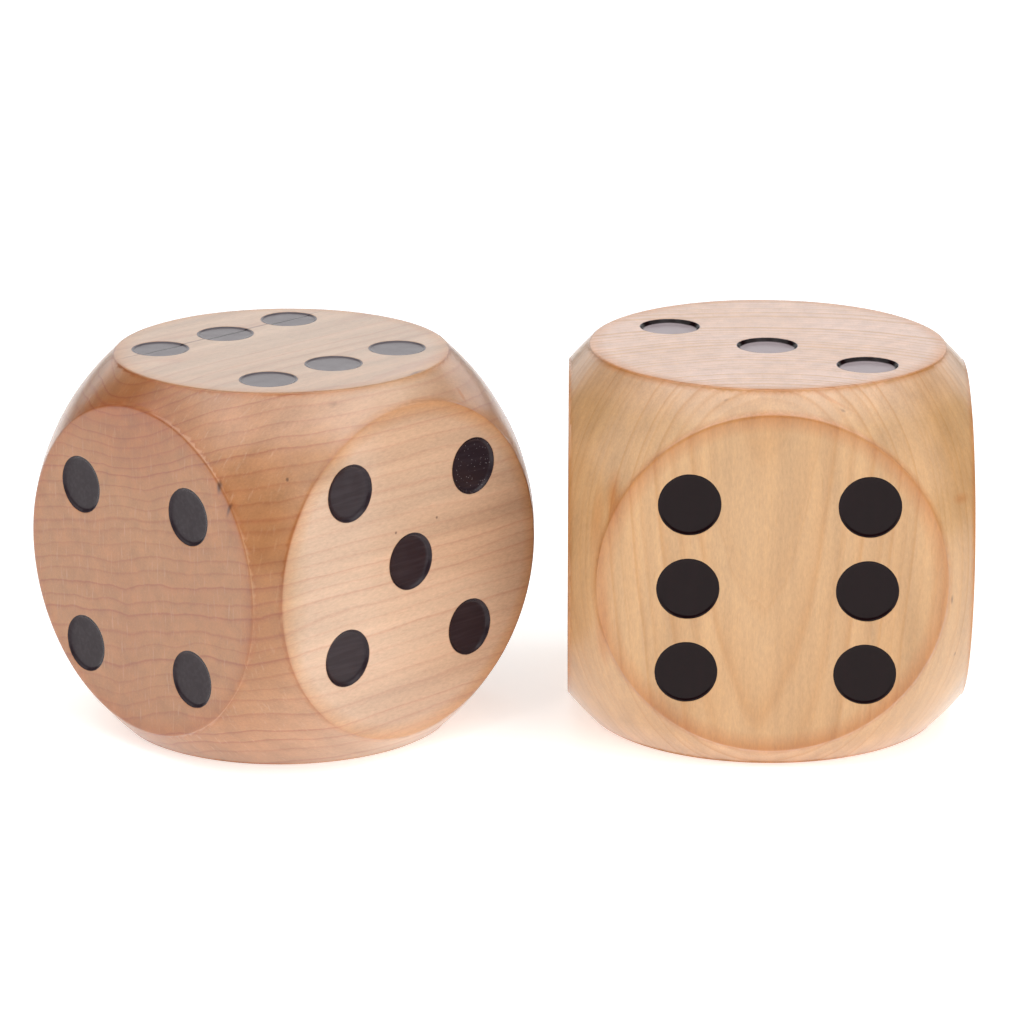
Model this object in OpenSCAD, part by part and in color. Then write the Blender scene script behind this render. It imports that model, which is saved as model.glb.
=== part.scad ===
// Giant yard dice: two wooden blocks whose corners and edges are rounded off by a ball, with shallow
// round recesses lined with black lacquer for pips. The left die stands corner-on and the right die
// face-on. The frame is millimetres, +Z up and +X along the pair, with the origin on the ground at
// the middle of the pair's outline. A die's own X runs along the grain, from its four to its three,
// its Y from its five to its two, and its Z from its one to its six.

/* [Left die] */
// Widths across the flat faces along the die's own X, Y and Z
left_size = [89, 87.4, 88.8]; // [86:0.2:94]
// Diameter of the ball that rounds its corners
left_ball_d = 118; // [116:0.5:121]
// Turn about the upright axis, in degrees
left_yaw = 44.6; // [0:0.1:90]

/* [Right die] */
// Widths across the flat faces along the die's own X, Y and Z
right_size = [89.4, 93, 92.4]; // [86:0.2:94]
// Diameter of the ball that rounds its corners
right_ball_d = 122; // [116:0.5:124]
// Turn about the upright axis, in degrees
right_yaw = -0.8; // [-90:0.1:90]
// Clear gap between the two dice
die_gap = 7.4; // [2:0.1:60]
// How far the right die stands behind the left die
right_back = 3.6; // [-8:0.1:8]

/* [Pips] */
// Diameter of the recesses in the left die
left_pip_d = 13.2; // [10:0.1:14.5]
// Diameter of the recesses in the right die
right_pip_d = 14.1; // [10:0.1:14.5]
// Depth of a pip's recess
recess_depth = 1.4; // [1.2:0.1:4]
// Thickness of the lacquer on a recess's wall
film_t = 0.3; // [0.1:0.05:0.6]
// Spacing of the pips, from the middle row to an outer row, along and across a plain face
pip_pitch = [19.6, 19.6]; // [17:0.1:21]
// Depth of the lacquer below a plain face
pip_sink = 0.6; // [0.2:0.05:1]

/* [Left die pips] */
// Shift of the four's pips off the middle of their face
left_four_shift = [-2.7, 1.4]; // [-3:0.1:3]
// Spacing of the four's pips
left_four_pitch = [19.3, 18.9]; // [17:0.1:21]
// Turn of the four's pips on their face, in degrees
left_four_turn = 0.3; // [-6:0.1:6]
// Depth of the four's lacquer below the face
left_four_sink = 0.5; // [0.2:0.05:1]
// Shift of the five's pips off the middle of their face
left_five_shift = [-0.2, 2.4]; // [-3:0.1:3]
// Spacing of the five's pips
left_five_pitch = [19.3, 19.4]; // [17:0.1:21]
// Turn of the five's pips on their face, in degrees
left_five_turn = -1.9; // [-6:0.1:6]
// Depth of the five's lacquer below the face
left_five_sink = 0.8; // [0.2:0.05:1]
// Shift of the six's pips off the middle of their face
left_six_shift = [0.1, 1.1]; // [-3:0.1:3]
// Spacing of the six's pips
left_six_pitch = [20, 19]; // [17:0.1:21]
// Turn of the six's pips on their face, in degrees
left_six_turn = -0.3; // [-6:0.1:6]
// Depth of the six's lacquer below the face
left_six_sink = 0.3; // [0.2:0.05:1]

/* [Right die pips] */
// Shift of the three's pips off the middle of their face
right_three_shift = [-2.2, 0.2]; // [-3:0.1:3]
// Spacing of the three's pips
right_three_pitch = [19.2, 20.8]; // [17:0.1:21]
// Turn of the three's pips on their face, in degrees
right_three_turn = 4.9; // [-6:0.1:6]
// Depth of the three's lacquer below the face
right_three_sink = 1; // [0.2:0.05:1]
// Shift of the six's pips off the middle of their face
right_six_shift = [-1.2, -1.2]; // [-3:0.1:3]
// Spacing of the six's pips
right_six_pitch = [19.9, 20.4]; // [17:0.1:21]
// Turn of the six's pips on their face, in degrees
right_six_turn = -0.6; // [-6:0.1:6]
// Depth of the six's lacquer below the face
right_six_sink = 0.2; // [0.2:0.05:1]

/* [Colours] */
// Colour of the left die's wood
left_wood = "#dbb99b"; // color
// Colour of the right die's wood
right_wood = "#dcb282"; // color
// Colour of the pip lacquer
lacquer = "#1c1817"; // color

/* [Hidden] */
rim_drop = 0.1;    // the lacquer's rim stops this far below the face
cut_over = 1;      // cutting shapes run this far past the surface that they cut
$fn = 96;

// Which die, by its place in each pair of values
LEFT = 0;
RIGHT = 1;
DICE = [LEFT, RIGHT];
SIDE_NAMES = ["left", "right"];
NUMBER_NAMES = ["one", "two", "three", "four", "five", "six"];

size = [left_size, right_size];
ball_r = [left_ball_d / 2, right_ball_d / 2];
yaw = [left_yaw, right_yaw];
pip_d = [left_pip_d, right_pip_d];
wood = [left_wood, right_wood];

// Both dice are numbered alike. The right one lies turned over, with its three up and its six to
// the front, so its own widths stand along X, Y and Z in another order.
lie_turn = [[0, 0, 0], [90, -90, 0]];
lie_axes = [[0, 1, 2], [1, 2, 0]];

// Turns that carry a die's upper face to the faces numbered one to six, and the die's own axis that
// each of those faces stands across
face_turn = [[180, 0, 0], [-90, 0, 0], [0, 90, 0], [0, -90, 0], [90, 0, 0], [0, 0, 0]];
face_axis = [2, 1, 0, 0, 1, 2];

// Pip places on the faces numbered one to six, in pitches from the middle
corners = [for (across = [-1, 1], along = [-1, 1]) [along, across]];
two_rows = [for (across = [-1, 1], along = [-1, 0, 1]) [along, across]];
middle = [0, 0];
pips = [
    [middle],
    [[-1, 1], [1, -1]],
    [[-1, -1], middle, [1, 1]],
    corners,
    concat(corners, [middle]),
    two_rows
];

// How each face was drilled and lacquered: shift, spacing and turn of its pips, and lacquer depth
SHIFT = 0;
PITCH = 1;
TURN = 2;
SINK = 3;
plain = [middle, pip_pitch, 0, pip_sink];
left_four = [left_four_shift, left_four_pitch, left_four_turn, left_four_sink];
left_five = [left_five_shift, left_five_pitch, left_five_turn, left_five_sink];
left_six = [left_six_shift, left_six_pitch, left_six_turn, left_six_sink];
right_three = [right_three_shift, right_three_pitch, right_three_turn, right_three_sink];
right_six = [right_six_shift, right_six_pitch, right_six_turn, right_six_sink];
drilling = [
    [plain, plain, plain, left_four, left_five, left_six],
    [plain, plain, right_three, plain, plain, right_six]
];

// Half of a standing die's width along one of the frame's axes, before its turn about the upright
function half_w(die, axis) = size[die][lie_axes[die][axis]] / 2;

// How far a die reaches in a direction that lies off the square to a flat face: the face's rim
// reaches furthest at a small angle, and the rounding ball at a larger one.
function reach(half, r, off) =
    off < acos(half / r) ? half * cos(off) + sqrt(r ^ 2 - half ^ 2) * sin(off) : r;
function half_extent(die) = min(
    reach(half_w(die, 0), ball_r[die], abs(yaw[die])),
    reach(half_w(die, 1), ball_r[die], 90 - abs(yaw[die]))
);

// Middles of the two dice on the ground, with the pair's outline centred on the origin in X
pair_w = 2 * half_extent(LEFT) + die_gap + 2 * half_extent(RIGHT);
stand = [
    [half_extent(LEFT) - pair_w / 2, 0],
    [pair_w / 2 - half_extent(RIGHT), right_back]
];

function block_name(die) = str(SIDE_NAMES[die], "_die_block");
function pip_name(die, number, i) =
    str(SIDE_NAMES[die], "_die_", NUMBER_NAMES[number - 1], "_pip_", i + 1);
function last(places) = len(places) - 1;

// Stands a shape that is centred on the origin on the ground, as one of the dice
module stand_die(die) {
    translate([stand[die][0], stand[die][1], half_w(die, 2)])
        rotate([0, 0, yaw[die]])
            rotate(lie_turn[die])
                children();
}

// Puts a shape that is drawn on the ground at a pip's place on the flat face of a centred die
module at_pip(die, number, i) {
    drilled = drilling[die][number - 1];
    place = pips[number - 1][i];
    rotate(face_turn[number - 1])
        translate(drilled[SHIFT])
            rotate([0, 0, drilled[TURN]])
                translate([place[0] * drilled[PITCH][0], place[1] * drilled[PITCH][1]])
                    translate([0, 0, size[die][face_axis[number - 1]] / 2])
                        children();
}

// Round recess for one pip, cut down from the face
module recess(die) {
    translate([0, 0, -recess_depth])
        cylinder(d = pip_d[die], h = recess_depth + cut_over);
}

// One solid block of wood, rounded by a ball, with twenty-one recesses
module die_block(die) {
    color(wood[die])
        stand_die(die)
            difference() {
                intersection() {
                    cube(size[die], center = true);
                    sphere(r = ball_r[die]);
                }
                for (number = [1:6], i = [0:last(pips[number - 1])])
                    at_pip(die, number, i)
                        recess(die);
            }
}

// Lacquer that fills the bottom of a recess and coats its wall
module pip_lacquer(die, number, i) {
    sink = drilling[die][number - 1][SINK];
    color(lacquer)
        stand_die(die)
            at_pip(die, number, i)
                difference() {
                    translate([0, 0, -recess_depth])
                        cylinder(d = pip_d[die], h = recess_depth - rim_drop);
                    translate([0, 0, -sink])
                        cylinder(d = pip_d[die] - 2 * film_t, h = sink + cut_over);
                }
}

for (die = DICE) {
    die_block(die);
    for (number = [1:6], i = [0:last(pips[number - 1])])
        pip_lacquer(die, number, i);
}
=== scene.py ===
"""Giant yard dice: two wooden blocks rounded by a ball, with lacquered pips, on a pale studio floor."""

import math
from collections import namedtuple

import bmesh
import bpy
from bpy.props import FloatProperty, FloatVectorProperty, IntProperty, PointerProperty
from mathutils import Matrix, Vector, noise


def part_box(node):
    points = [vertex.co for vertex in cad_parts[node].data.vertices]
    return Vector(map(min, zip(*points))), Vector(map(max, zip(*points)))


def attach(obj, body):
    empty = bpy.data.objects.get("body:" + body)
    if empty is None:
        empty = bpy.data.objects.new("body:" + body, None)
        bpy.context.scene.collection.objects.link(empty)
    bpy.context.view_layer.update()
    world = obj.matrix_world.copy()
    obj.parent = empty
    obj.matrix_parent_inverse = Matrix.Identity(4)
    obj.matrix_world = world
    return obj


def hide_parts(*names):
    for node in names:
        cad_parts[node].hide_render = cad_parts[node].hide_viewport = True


bl_info = {
    "name": "Giant Yard Dice",
    "version": (1, 0, 0),
    "blender": (4, 5, 0),
    "location": "3D View > Sidebar > Yard Dice",
    "description": "Builds a pair of wooden yard dice around their CAD frame",
    "category": "Object",
}

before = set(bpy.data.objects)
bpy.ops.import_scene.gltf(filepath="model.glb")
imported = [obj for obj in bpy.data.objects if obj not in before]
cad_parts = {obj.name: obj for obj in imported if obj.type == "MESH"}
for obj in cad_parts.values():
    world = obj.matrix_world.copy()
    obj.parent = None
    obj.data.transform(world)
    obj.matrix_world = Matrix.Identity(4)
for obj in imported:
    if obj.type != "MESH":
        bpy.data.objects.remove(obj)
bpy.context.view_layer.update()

MM = 0.001
SIDES = ("left", "right")
PIP_COUNTS = {"one": 1, "two": 2, "three": 3, "four": 4, "five": 5, "six": 6}
# The faces that a die's own X, Y and Z run towards
FAR_FACES = ("three", "two", "six")
FULL_TURN = 2 * math.pi


# ---------------------------------------------------------------- what the frame says of each die


class Pip:
    """One pip of a die: its place on its face, its radius and its levels, in the die's own frame."""

    def __init__(self, die, node):
        self.node = node
        points = die.own_points(node)
        middle = sum(points, Vector()) / len(points)
        box = die.own_box(points)
        centre = (box[0] + box[1]) / 2
        self.axis = max(range(3), key=lambda a: abs(middle[a]) / die.half[a])
        self.sign = 1 if middle[self.axis] > 0 else -1
        across = (self.axis + 1) % 3
        self.radius = (box[1][across] - box[0][across]) / 2
        levels = sorted({round((die.half[self.axis] - abs(p[self.axis])) / MM, 2) for p in points})
        self.sink = levels[1] * MM
        self.depth = levels[-1] * MM
        normal = Vector()
        normal[self.axis] = self.sign
        centre[self.axis] = self.sign * die.half[self.axis]
        turn = normal.to_track_quat("Z", "Y").to_matrix().to_4x4()
        self.place = Matrix.Translation(centre) @ turn


class Die:
    """One die as the frame holds it: its middle, its own axes, its half widths, ball and pips."""

    def __init__(self, side):
        self.side = side
        self.body = f"{side}_die"
        self.block = f"{side}_die_block"
        low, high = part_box(self.block)
        self.middle = (low + high) / 2
        axes = [self.outward(f"{side}_die_{face}_pip_1") for face in FAR_FACES]
        self.turn = Matrix(axes).transposed()
        self.to_frame = Matrix.Translation(self.middle) @ self.turn.to_4x4()
        points = self.own_points(self.block)
        self.half = self.own_box(points)[1]
        self.ball = max(p.length for p in points)
        self.pips = [
            Pip(self, f"{side}_die_{face}_pip_{i + 1}")
            for face, count in PIP_COUNTS.items()
            for i in range(count)
        ]

    def outward(self, node):
        """The direction that a pip's widest flat looks in, away from the die's middle."""
        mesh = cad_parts[node].data
        widest = max(mesh.polygons, key=lambda p: p.area)
        away = widest.center - self.middle
        return widest.normal if widest.normal.dot(away) > 0 else -widest.normal

    def own_points(self, node):
        """A node's points in the die's own frame."""
        back = self.to_frame.inverted()
        return [back @ v.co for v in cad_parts[node].data.vertices]

    def own_box(self, points):
        """Lowest and highest corner of points in the die's own frame."""
        return [Vector(pick(p[a] for p in points) for a in range(3)) for pick in (min, max)]


DICE = {side: Die(side) for side in SIDES}


# ---------------------------------------------------------------- what a user may change


class DiceShape(bpy.types.PropertyGroup):
    """Sizes that the saw, the sander and the brush leave on both dice."""

    edge_soft: FloatProperty(
        name="Edge softness", description="How far the sander breaks the rim of a flat face",
        default=0.55 * MM, min=0.2 * MM, max=1.5 * MM, subtype="DISTANCE", unit="LENGTH")
    edge_wander: FloatProperty(
        name="Edge wander", description="How unevenly that rim is broken, as a share of it",
        default=0.55, min=0.0, max=0.9, subtype="FACTOR")
    ball_wander: FloatProperty(
        name="Ball unevenness", description="Depth of the hollows that sanding leaves on the ball",
        default=0.22 * MM, min=0.0, max=0.6 * MM, subtype="DISTANCE", unit="LENGTH")
    ball_cuts: IntProperty(
        name="Ball divisions", description="Times that the ball's faces are divided",
        default=7, min=5, max=7)
    mouth_soft: FloatProperty(
        name="Recess mouth", description="How far the mouth of a recess is rounded over",
        default=0.28 * MM, min=0.1 * MM, max=0.5 * MM, subtype="DISTANCE", unit="LENGTH")
    film: FloatProperty(
        name="Lacquer film", description="Thickness of the lacquer on a recess's wall",
        default=0.3 * MM, min=0.1 * MM, max=0.6 * MM, subtype="DISTANCE", unit="LENGTH")
    round_steps: IntProperty(
        name="Round steps", description="Straight steps round a pip", default=72, min=32, max=128)


class WoodLook(bpy.types.PropertyGroup):
    """Colours and growth rings of one block, lengths in millimetres in its own frame."""

    early: FloatVectorProperty(
        name="Early wood", description="Colour of the pale wood between ring lines",
        default=(0.63, 0.425, 0.29), min=0, max=1, subtype="COLOR")
    rosy: FloatVectorProperty(
        name="Rosy wood", description="Colour of the darker patches between ring lines",
        default=(0.605, 0.38, 0.245), min=0, max=1, subtype="COLOR")
    late: FloatVectorProperty(
        name="Late wood", description="Colour of the ring lines",
        default=(0.50, 0.245, 0.16), min=0, max=1, subtype="COLOR")
    # End grain tint: partly the real darkening of varnish soaked into end grain, partly painted light
    # and shade. It darkens the left block's faces across the grain as painted shade, and it lightens and
    # pales the right block's as painted light.
    end_grain_and_painted_light_tint: FloatVectorProperty(
        name="End grain", description="Tint of the end grain: varnish that soaks in, and painted light and shade",
        default=(0.665, 0.42, 0.215), min=0, max=3, subtype="COLOR")
    end_range: FloatVectorProperty(
        name="End grain range", description="Lean to the grain where the tint starts and is full",
        default=(0.0, 0.75), size=2)
    rim_tint: FloatVectorProperty(
        name="Rim", description="Tint of the varnish gathered along the rims",
        default=(0.95, 0.76, 0.55), min=0, max=1, subtype="COLOR")
    spacing: FloatProperty(
        name="Ring spacing", description="Mean width of a growth ring", default=3.4, min=1, max=9)
    pith: FloatVectorProperty(
        name="Pith", description="Where the log's middle lay, across the grain",
        default=(-78.0, -392.0), size=2)
    taper: FloatProperty(
        name="Taper", description="How much the rings widen along the grain", default=0.012)
    swell: FloatVectorProperty(
        name="Swell", description="Place across the grain, height and reach of a swelling",
        default=(8.0, 50.0, 22.0, 60.0), size=4)
    wander: FloatProperty(
        name="Ring wander", description="How far the rings drift from even arcs", default=9.0)
    ripple: FloatProperty(
        name="Ring ripple", description="How far the rings shake from their drift", default=1.6)
    late_share: FloatProperty(
        name="Late share", description="Share of a year that is late wood", default=0.16)
    lines: FloatVectorProperty(
        name="Line strength", description="Strength of the weakest and strongest ring lines",
        default=(0.4, 1.0), size=2)
    first_year: IntProperty(
        name="First year", description="Number of the innermost year, which picks strong years",
        default=0)
    figure: FloatProperty(
        name="Figure", description="Contrast of the fibres and streaks", default=0.26)


class LacquerLook(bpy.types.PropertyGroup):
    """Black lacquer in the pips."""

    colour: FloatVectorProperty(
        name="Colour", description="Colour of the lacquer",
        default=(0.024, 0.015, 0.019), min=0, max=1, subtype="COLOR")
    thin: FloatVectorProperty(
        name="Thin colour", description="Colour where the lacquer is thin over the fibres",
        default=(0.031, 0.021, 0.026), min=0, max=1, subtype="COLOR")
    bubbly: FloatVectorProperty(
        name="Bubbly pip", description="Middle of the pip where bubbles burst, in millimetres",
        default=(19.0, -43.7, 19.5), size=3)
    bubbles: FloatProperty(
        name="Bubbles", description="How deep burst bubbles are where they gather",
        default=1.0, min=0, max=1, subtype="FACTOR")
    ior: FloatProperty(
        name="IOR", description="How strongly the lacquer reflects", default=1.3, min=1.2, max=1.8)
    # Painted sheen: a pale colour standing for the light that lacquer facing up reflects, also put on
    # the craters as painted glints
    painted_sheen: FloatVectorProperty(
        name="Painted sheen", description="Colour of the painted sheen on lacquer that faces up",
        default=(0.16, 0.14, 0.15), min=0, max=1, subtype="COLOR")
    roughness: FloatProperty(
        name="Roughness", description="How much the lacquer scatters its reflections",
        default=0.22, min=0.1, max=0.9, subtype="FACTOR")


class StageLook(bpy.types.PropertyGroup):
    """Floor, lights and camera."""

    floor: FloatVectorProperty(
        name="Floor", description="Colour of the floor",
        default=(0.90, 0.895, 0.885), min=0, max=1, subtype="COLOR")
    floor_glow: FloatProperty(
        name="Floor glow", description="Light that the floor gives from below", default=0.6, min=0)
    ambient: FloatProperty(
        name="Ambient light", description="Brightness of the room", default=0.76, min=0)
    brightness: FloatProperty(
        name="Brightness", description="Brightness of all the soft lights", default=1.0, min=0)
    camera_pitch: FloatProperty(
        name="Camera pitch", description="How far the camera looks down",
        default=math.radians(16.78), subtype="ANGLE", unit="ROTATION")
    camera_height: FloatProperty(
        name="Camera height", description="Height of the camera above the floor",
        default=362.45 * MM, subtype="DISTANCE", unit="LENGTH")
    camera_back: FloatProperty(
        name="Camera distance", description="How far the camera stands in front of the left die",
        default=1038.93 * MM, subtype="DISTANCE", unit="LENGTH")
    camera_right: FloatProperty(
        name="Camera offset", description="How far the camera stands right of the left die",
        default=53.69 * MM, subtype="DISTANCE", unit="LENGTH")
    lens: FloatProperty(
        name="Lens", description="Focal length on a 36 mm sensor", default=161.98, min=20)


# ---------------------------------------------------------------- marks that only these blocks have

Mark = namedtuple("Mark", "name place turn reach edge depth tint")
SOOT = (0.42, 0.37, 0.36)
RUST = (0.9, 0.66, 0.42)
INK = (0.16, 0.11, 0.10)
RED_STAIN = (0.92, 0.76, 0.6)
AMBER_STAIN = (0.85, 0.75, 0.57)
# Places and reaches are millimetres in a die's own frame, and turns are degrees
MARKS = {
    "left": (
        Mark("hairline", (0, 19.8, 44.2), (0, 0, 0.3), (38, 0.5, 1.2), 0.3, 0.8, SOOT),
        Mark("upper rim dent", (-44.3, -28.3, 26.2), (0, 0, 0), (0.9, 0.9, 2.4), 0.7, 0.85, INK),
        Mark("lower rim dent", (-44.4, -31.6, 21.6), (20, 0, 0), (0.8, 0.6, 2.6), 0.7, 0.7, INK),
        Mark("smudge", (-18.3, -37.7, 41.9), (0, 0, 25), (3.2, 1.2, 0.8), 0.9, 0.5, SOOT),
        Mark("rim smudge", (7.4, -37.3, 44.2), (0, 0, 12), (4.2, 0.8, 0.7), 0.7, 0.8, SOOT),
        Mark("burnish", (18.6, -41.0, 38.0), (38, 0, 4), (0.9, 2.5, 5.0), 0.6, 0.9, RUST),
        Mark("pinhole", (-33.9, -39.3, 28.1), (0, 0, 0), (0.45, 0.45, 0.7), 0.6, 0.7, INK),
        Mark("far pinhole", (8.1, -43.7, 11.2), (0, 0, 0), (0.4, 0.4, 0.4), 0.4, 0.7, INK),
        Mark("near pinhole", (-4.8, -43.7, 10.2), (0, 0, 0), (0.4, 0.4, 0.4), 0.4, 0.7, INK),
        Mark("upper stain", (-44.5, 4.0, 35.0), (0, 0, 0), (9, 28, 19), 0.7, 1.0, RED_STAIN),
        Mark("band stain", (-39.5, -40.3, 8.0), (0, 0, 0), (9, 9, 36), 0.7, 0.9, AMBER_STAIN),
        Mark("amber patch", (-27.0, -40.8, 32.0), (0, 0, 0), (10, 9, 9), 0.7, 0.95, AMBER_STAIN),
        Mark("corner stain", (-41.0, 0.0, 42.3), (0, 0, 0), (4, 15, 5), 0.7, 0.8, AMBER_STAIN),
    ),
    "right": (
        Mark("seam", (42.8, -12.0, 41.6), (0, 0, 62), (13.0, 0.5, 1.2), 0.5, 0.5, RUST),
        Mark("rust streak", (20.5, 36.2, 44.4), (0, 12, 0), (8.0, 2.2, 3.0), 0.8, 0.95, RUST),
        Mark("near rust streak", (11.0, 39.4, 43.4), (0, 8, 0), (13.0, 2.4, 3.0), 0.8, 0.75, RUST),
        Mark("far rust streak", (-9.0, 38.4, 44.4), (0, 4, 0), (22.0, 2.0, 3.0), 0.7, 0.7, RUST),
        Mark("burnish", (18.6, -43.5, 39.5), (0, 0, 0), (1.5, 4.0, 3.0), 0.8, 0.8, RUST),
        Mark("upper speck", (-3.7, -40.9, 45.1), (0, 0, 0), (1.3, 0.4, 0.6), 0.7, 0.6, INK),
        Mark("lower speck", (-18.7, -42.4, 39.7), (0, 0, 0), (1.0, 0.4, 0.5), 0.7, 0.6, INK),
        Mark("left tick", (42.5, 10.8, 42.4), (0, 0, 30), (0.4, 1.0, 0.5), 0.7, 0.5, INK),
        Mark("right tick", (40.4, -15.3, 43.1), (0, 0, -30), (0.4, 1.0, 0.5), 0.7, 0.5, INK),
    ),
}
# Where the right block's wood differs from the left block's
RIGHT_WOOD = {
    "early": (0.572, 0.334, 0.153),
    "rosy": (0.535, 0.295, 0.122),
    "late": (0.48, 0.23, 0.07),
    # Above one: painted light that lightens and pales the right block's faces across the grain
    "end_grain_and_painted_light_tint": (1.4, 1.62, 2.85),
    "spacing": 2.3,
    "end_range": (0.6, 0.97),
    "rim_tint": (0.86, 0.6, 0.33),
    "pith": (2.3, 74.25),
    "taper": 0.07,
    "swell": (0.0, 0.0, 0.0, 1.0),
    "wander": 4.0,
    "ripple": 0.8,
    "late_share": 0.34,
    "lines": (0.2, 1.25),
    "first_year": -1,
    "figure": 0.24,
}
# Where the right die's lacquer differs from the left die's
RIGHT_LACQUER = {
    "colour": (0.006, 0.001, 0.0016),
    "thin": (0.008, 0.0016, 0.0024),
    # A paler painted sheen on the right die's upward pips
    "painted_sheen": (0.36, 0.30, 0.315),
    "ior": 1.27,
    "bubbles": 0.0,
}


# ---------------------------------------------------------------- blocks


def rounded(start, corner, end, steps):
    """Points of a curve that leaves start towards corner and arrives at end from corner."""
    curve = []
    for k in range(1, steps + 1):
        t = k / steps
        curve.append(start.lerp(corner, t).lerp(corner.lerp(end, t), t))
    return curve


FLAT_FACES = [(axis, sign) for axis in range(3) for sign in (-1, 1)]


def rim_slope(die, axis):
    """Angle between a flat face and the ball where they meet."""
    return math.acos(die.half[axis] / die.ball)


def facing_out(axis, sign):
    """The direction that a flat face looks in."""
    normal = Vector()
    normal[axis] = sign
    return normal


def each_once(parts):
    """Parts of a mesh without repeats, in an order that is the same in every run."""
    return list(dict.fromkeys(parts))


def loop_at(bm, axis, sign, level):
    """Open edges that lie in the plane across one of the die's axes."""
    flat = 1e-3 * MM
    return [
        e for e in bm.edges
        if e.is_boundary and all(abs(v.co[axis] * sign - level) < flat for v in e.verts)
    ]


def carry_loop(bm, edges):
    """Extrudes open edges in place and returns the new edges and points."""
    made = bmesh.ops.extrude_edge_only(bm, edges=edges)["geom"]
    new_edges = [g for g in made if isinstance(g, bmesh.types.BMEdge) and g.is_boundary]
    new_points = [g for g in made if isinstance(g, bmesh.types.BMVert)]
    return new_edges, new_points


def break_rim(bm, die, axis, sign, look):
    """Closes a cut in the ball with a softened rim, and returns the flat face's outer loop."""
    half = die.half[axis]
    rim = math.sqrt(die.ball ** 2 - half ** 2)
    slope = rim_slope(die, axis)
    drop = look.edge_soft * math.sin(slope)
    edges = loop_at(bm, axis, sign, half - drop)
    points = each_once(v for e in edges for v in e.verts)
    shortest_edge = 0.3 * MM
    bmesh.ops.remove_doubles(bm, verts=points, dist=shortest_edge)
    edges = loop_at(bm, axis, sign, half - drop)
    soft_steps = 4
    ledge = Vector((0.8 * MM, 0))
    waves = 3
    for k in range(1, soft_steps + 2):
        edges, points = carry_loop(bm, edges)
        for v in points:
            spoke = v.co.copy()
            spoke[axis] = 0
            spoke.normalize()
            uneven = 1 + look.edge_wander * noise.noise(spoke * waves + Vector((axis, sign, 7)))
            outer = Vector((rim + look.edge_soft * math.cos(slope), half - drop))
            inner = Vector((rim - look.edge_soft * uneven, half))
            curve = rounded(outer, Vector((rim, half)), inner, soft_steps)
            curve.append(inner - ledge)
            v.co = spoke * curve[k - 1].x
            v.co[axis] = sign * curve[k - 1].y
    return edges


def cut_recess(bm, pip, look):
    """Makes one recess with a rounded mouth, and returns the mouth's outer loop."""
    ledge = 0.3 * MM
    ring = bmesh.ops.create_circle(
        bm, cap_ends=False, segments=look.round_steps,
        radius=pip.radius + look.mouth_soft + ledge, matrix=pip.place)
    mouth = each_once(e for v in ring["verts"] for e in v.link_edges)
    edges = mouth
    back = pip.place.inverted()
    lip = Vector((pip.radius + look.mouth_soft, 0))
    wall = Vector((pip.radius, -look.mouth_soft))
    mouth_steps = 3
    profile = [lip] + rounded(lip, Vector((pip.radius, 0)), wall, mouth_steps)
    profile.append(Vector((pip.radius, -pip.depth)))
    for step in profile:
        edges, points = carry_loop(bm, edges)
        for v in points:
            flat = back @ v.co
            spoke = Vector((flat.x, flat.y, 0)).normalized()
            v.co = pip.place @ (spoke * step.x + Vector((0, 0, step.y)))
    bmesh.ops.holes_fill(bm, edges=edges, sides=0)
    return mouth


def shape_block(die, look):
    """One block: a ball cut flat on six sides, rims broken, twenty-one recesses."""
    hollow_width = 14 * MM
    bm = bmesh.new()
    bmesh.ops.create_icosphere(bm, subdivisions=look.ball_cuts, radius=die.ball)
    for v in bm.verts:
        hollow = 0.5 + 0.5 * noise.noise(v.co / hollow_width + Vector((len(die.side), 0, 0)))
        v.co -= v.co.normalized() * look.ball_wander * max(0.0, hollow)
    for axis, sign in FLAT_FACES:
        normal = facing_out(axis, sign)
        drop = look.edge_soft * math.sin(rim_slope(die, axis))
        bmesh.ops.bisect_plane(
            bm, geom=bm.verts[:] + bm.edges[:] + bm.faces[:], dist=1e-7,
            plane_co=normal * (die.half[axis] - drop), plane_no=normal, clear_outer=True)
    for axis, sign in FLAT_FACES:
        outline = break_rim(bm, die, axis, sign, look)
        for pip in die.pips:
            if pip.axis == axis and pip.sign == sign:
                outline = outline + cut_recess(bm, pip, look)
        normal = facing_out(axis, sign)
        bmesh.ops.triangle_fill(bm, use_beauty=True, edges=outline, normal=normal)
    return finish_mesh(bm, die, f"{die.side}_wood_block")


def make_object(bm, name):
    """Turns a finished mesh into an object of the scene."""
    mesh = bpy.data.meshes.new(name)
    bm.to_mesh(mesh)
    bm.free()
    made = bpy.data.objects.new(name, mesh)
    bpy.context.scene.collection.objects.link(made)
    return made


def finish_mesh(bm, die, name):
    """Turns a mesh from the die's own frame into the shared frame and makes it an object."""
    bmesh.ops.recalc_face_normals(bm, faces=bm.faces[:])
    for face in bm.faces:
        face.smooth = True
    bmesh.ops.transform(bm, matrix=die.to_frame, verts=bm.verts[:])
    return make_object(bm, name)


# ---------------------------------------------------------------- lacquer


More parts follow.
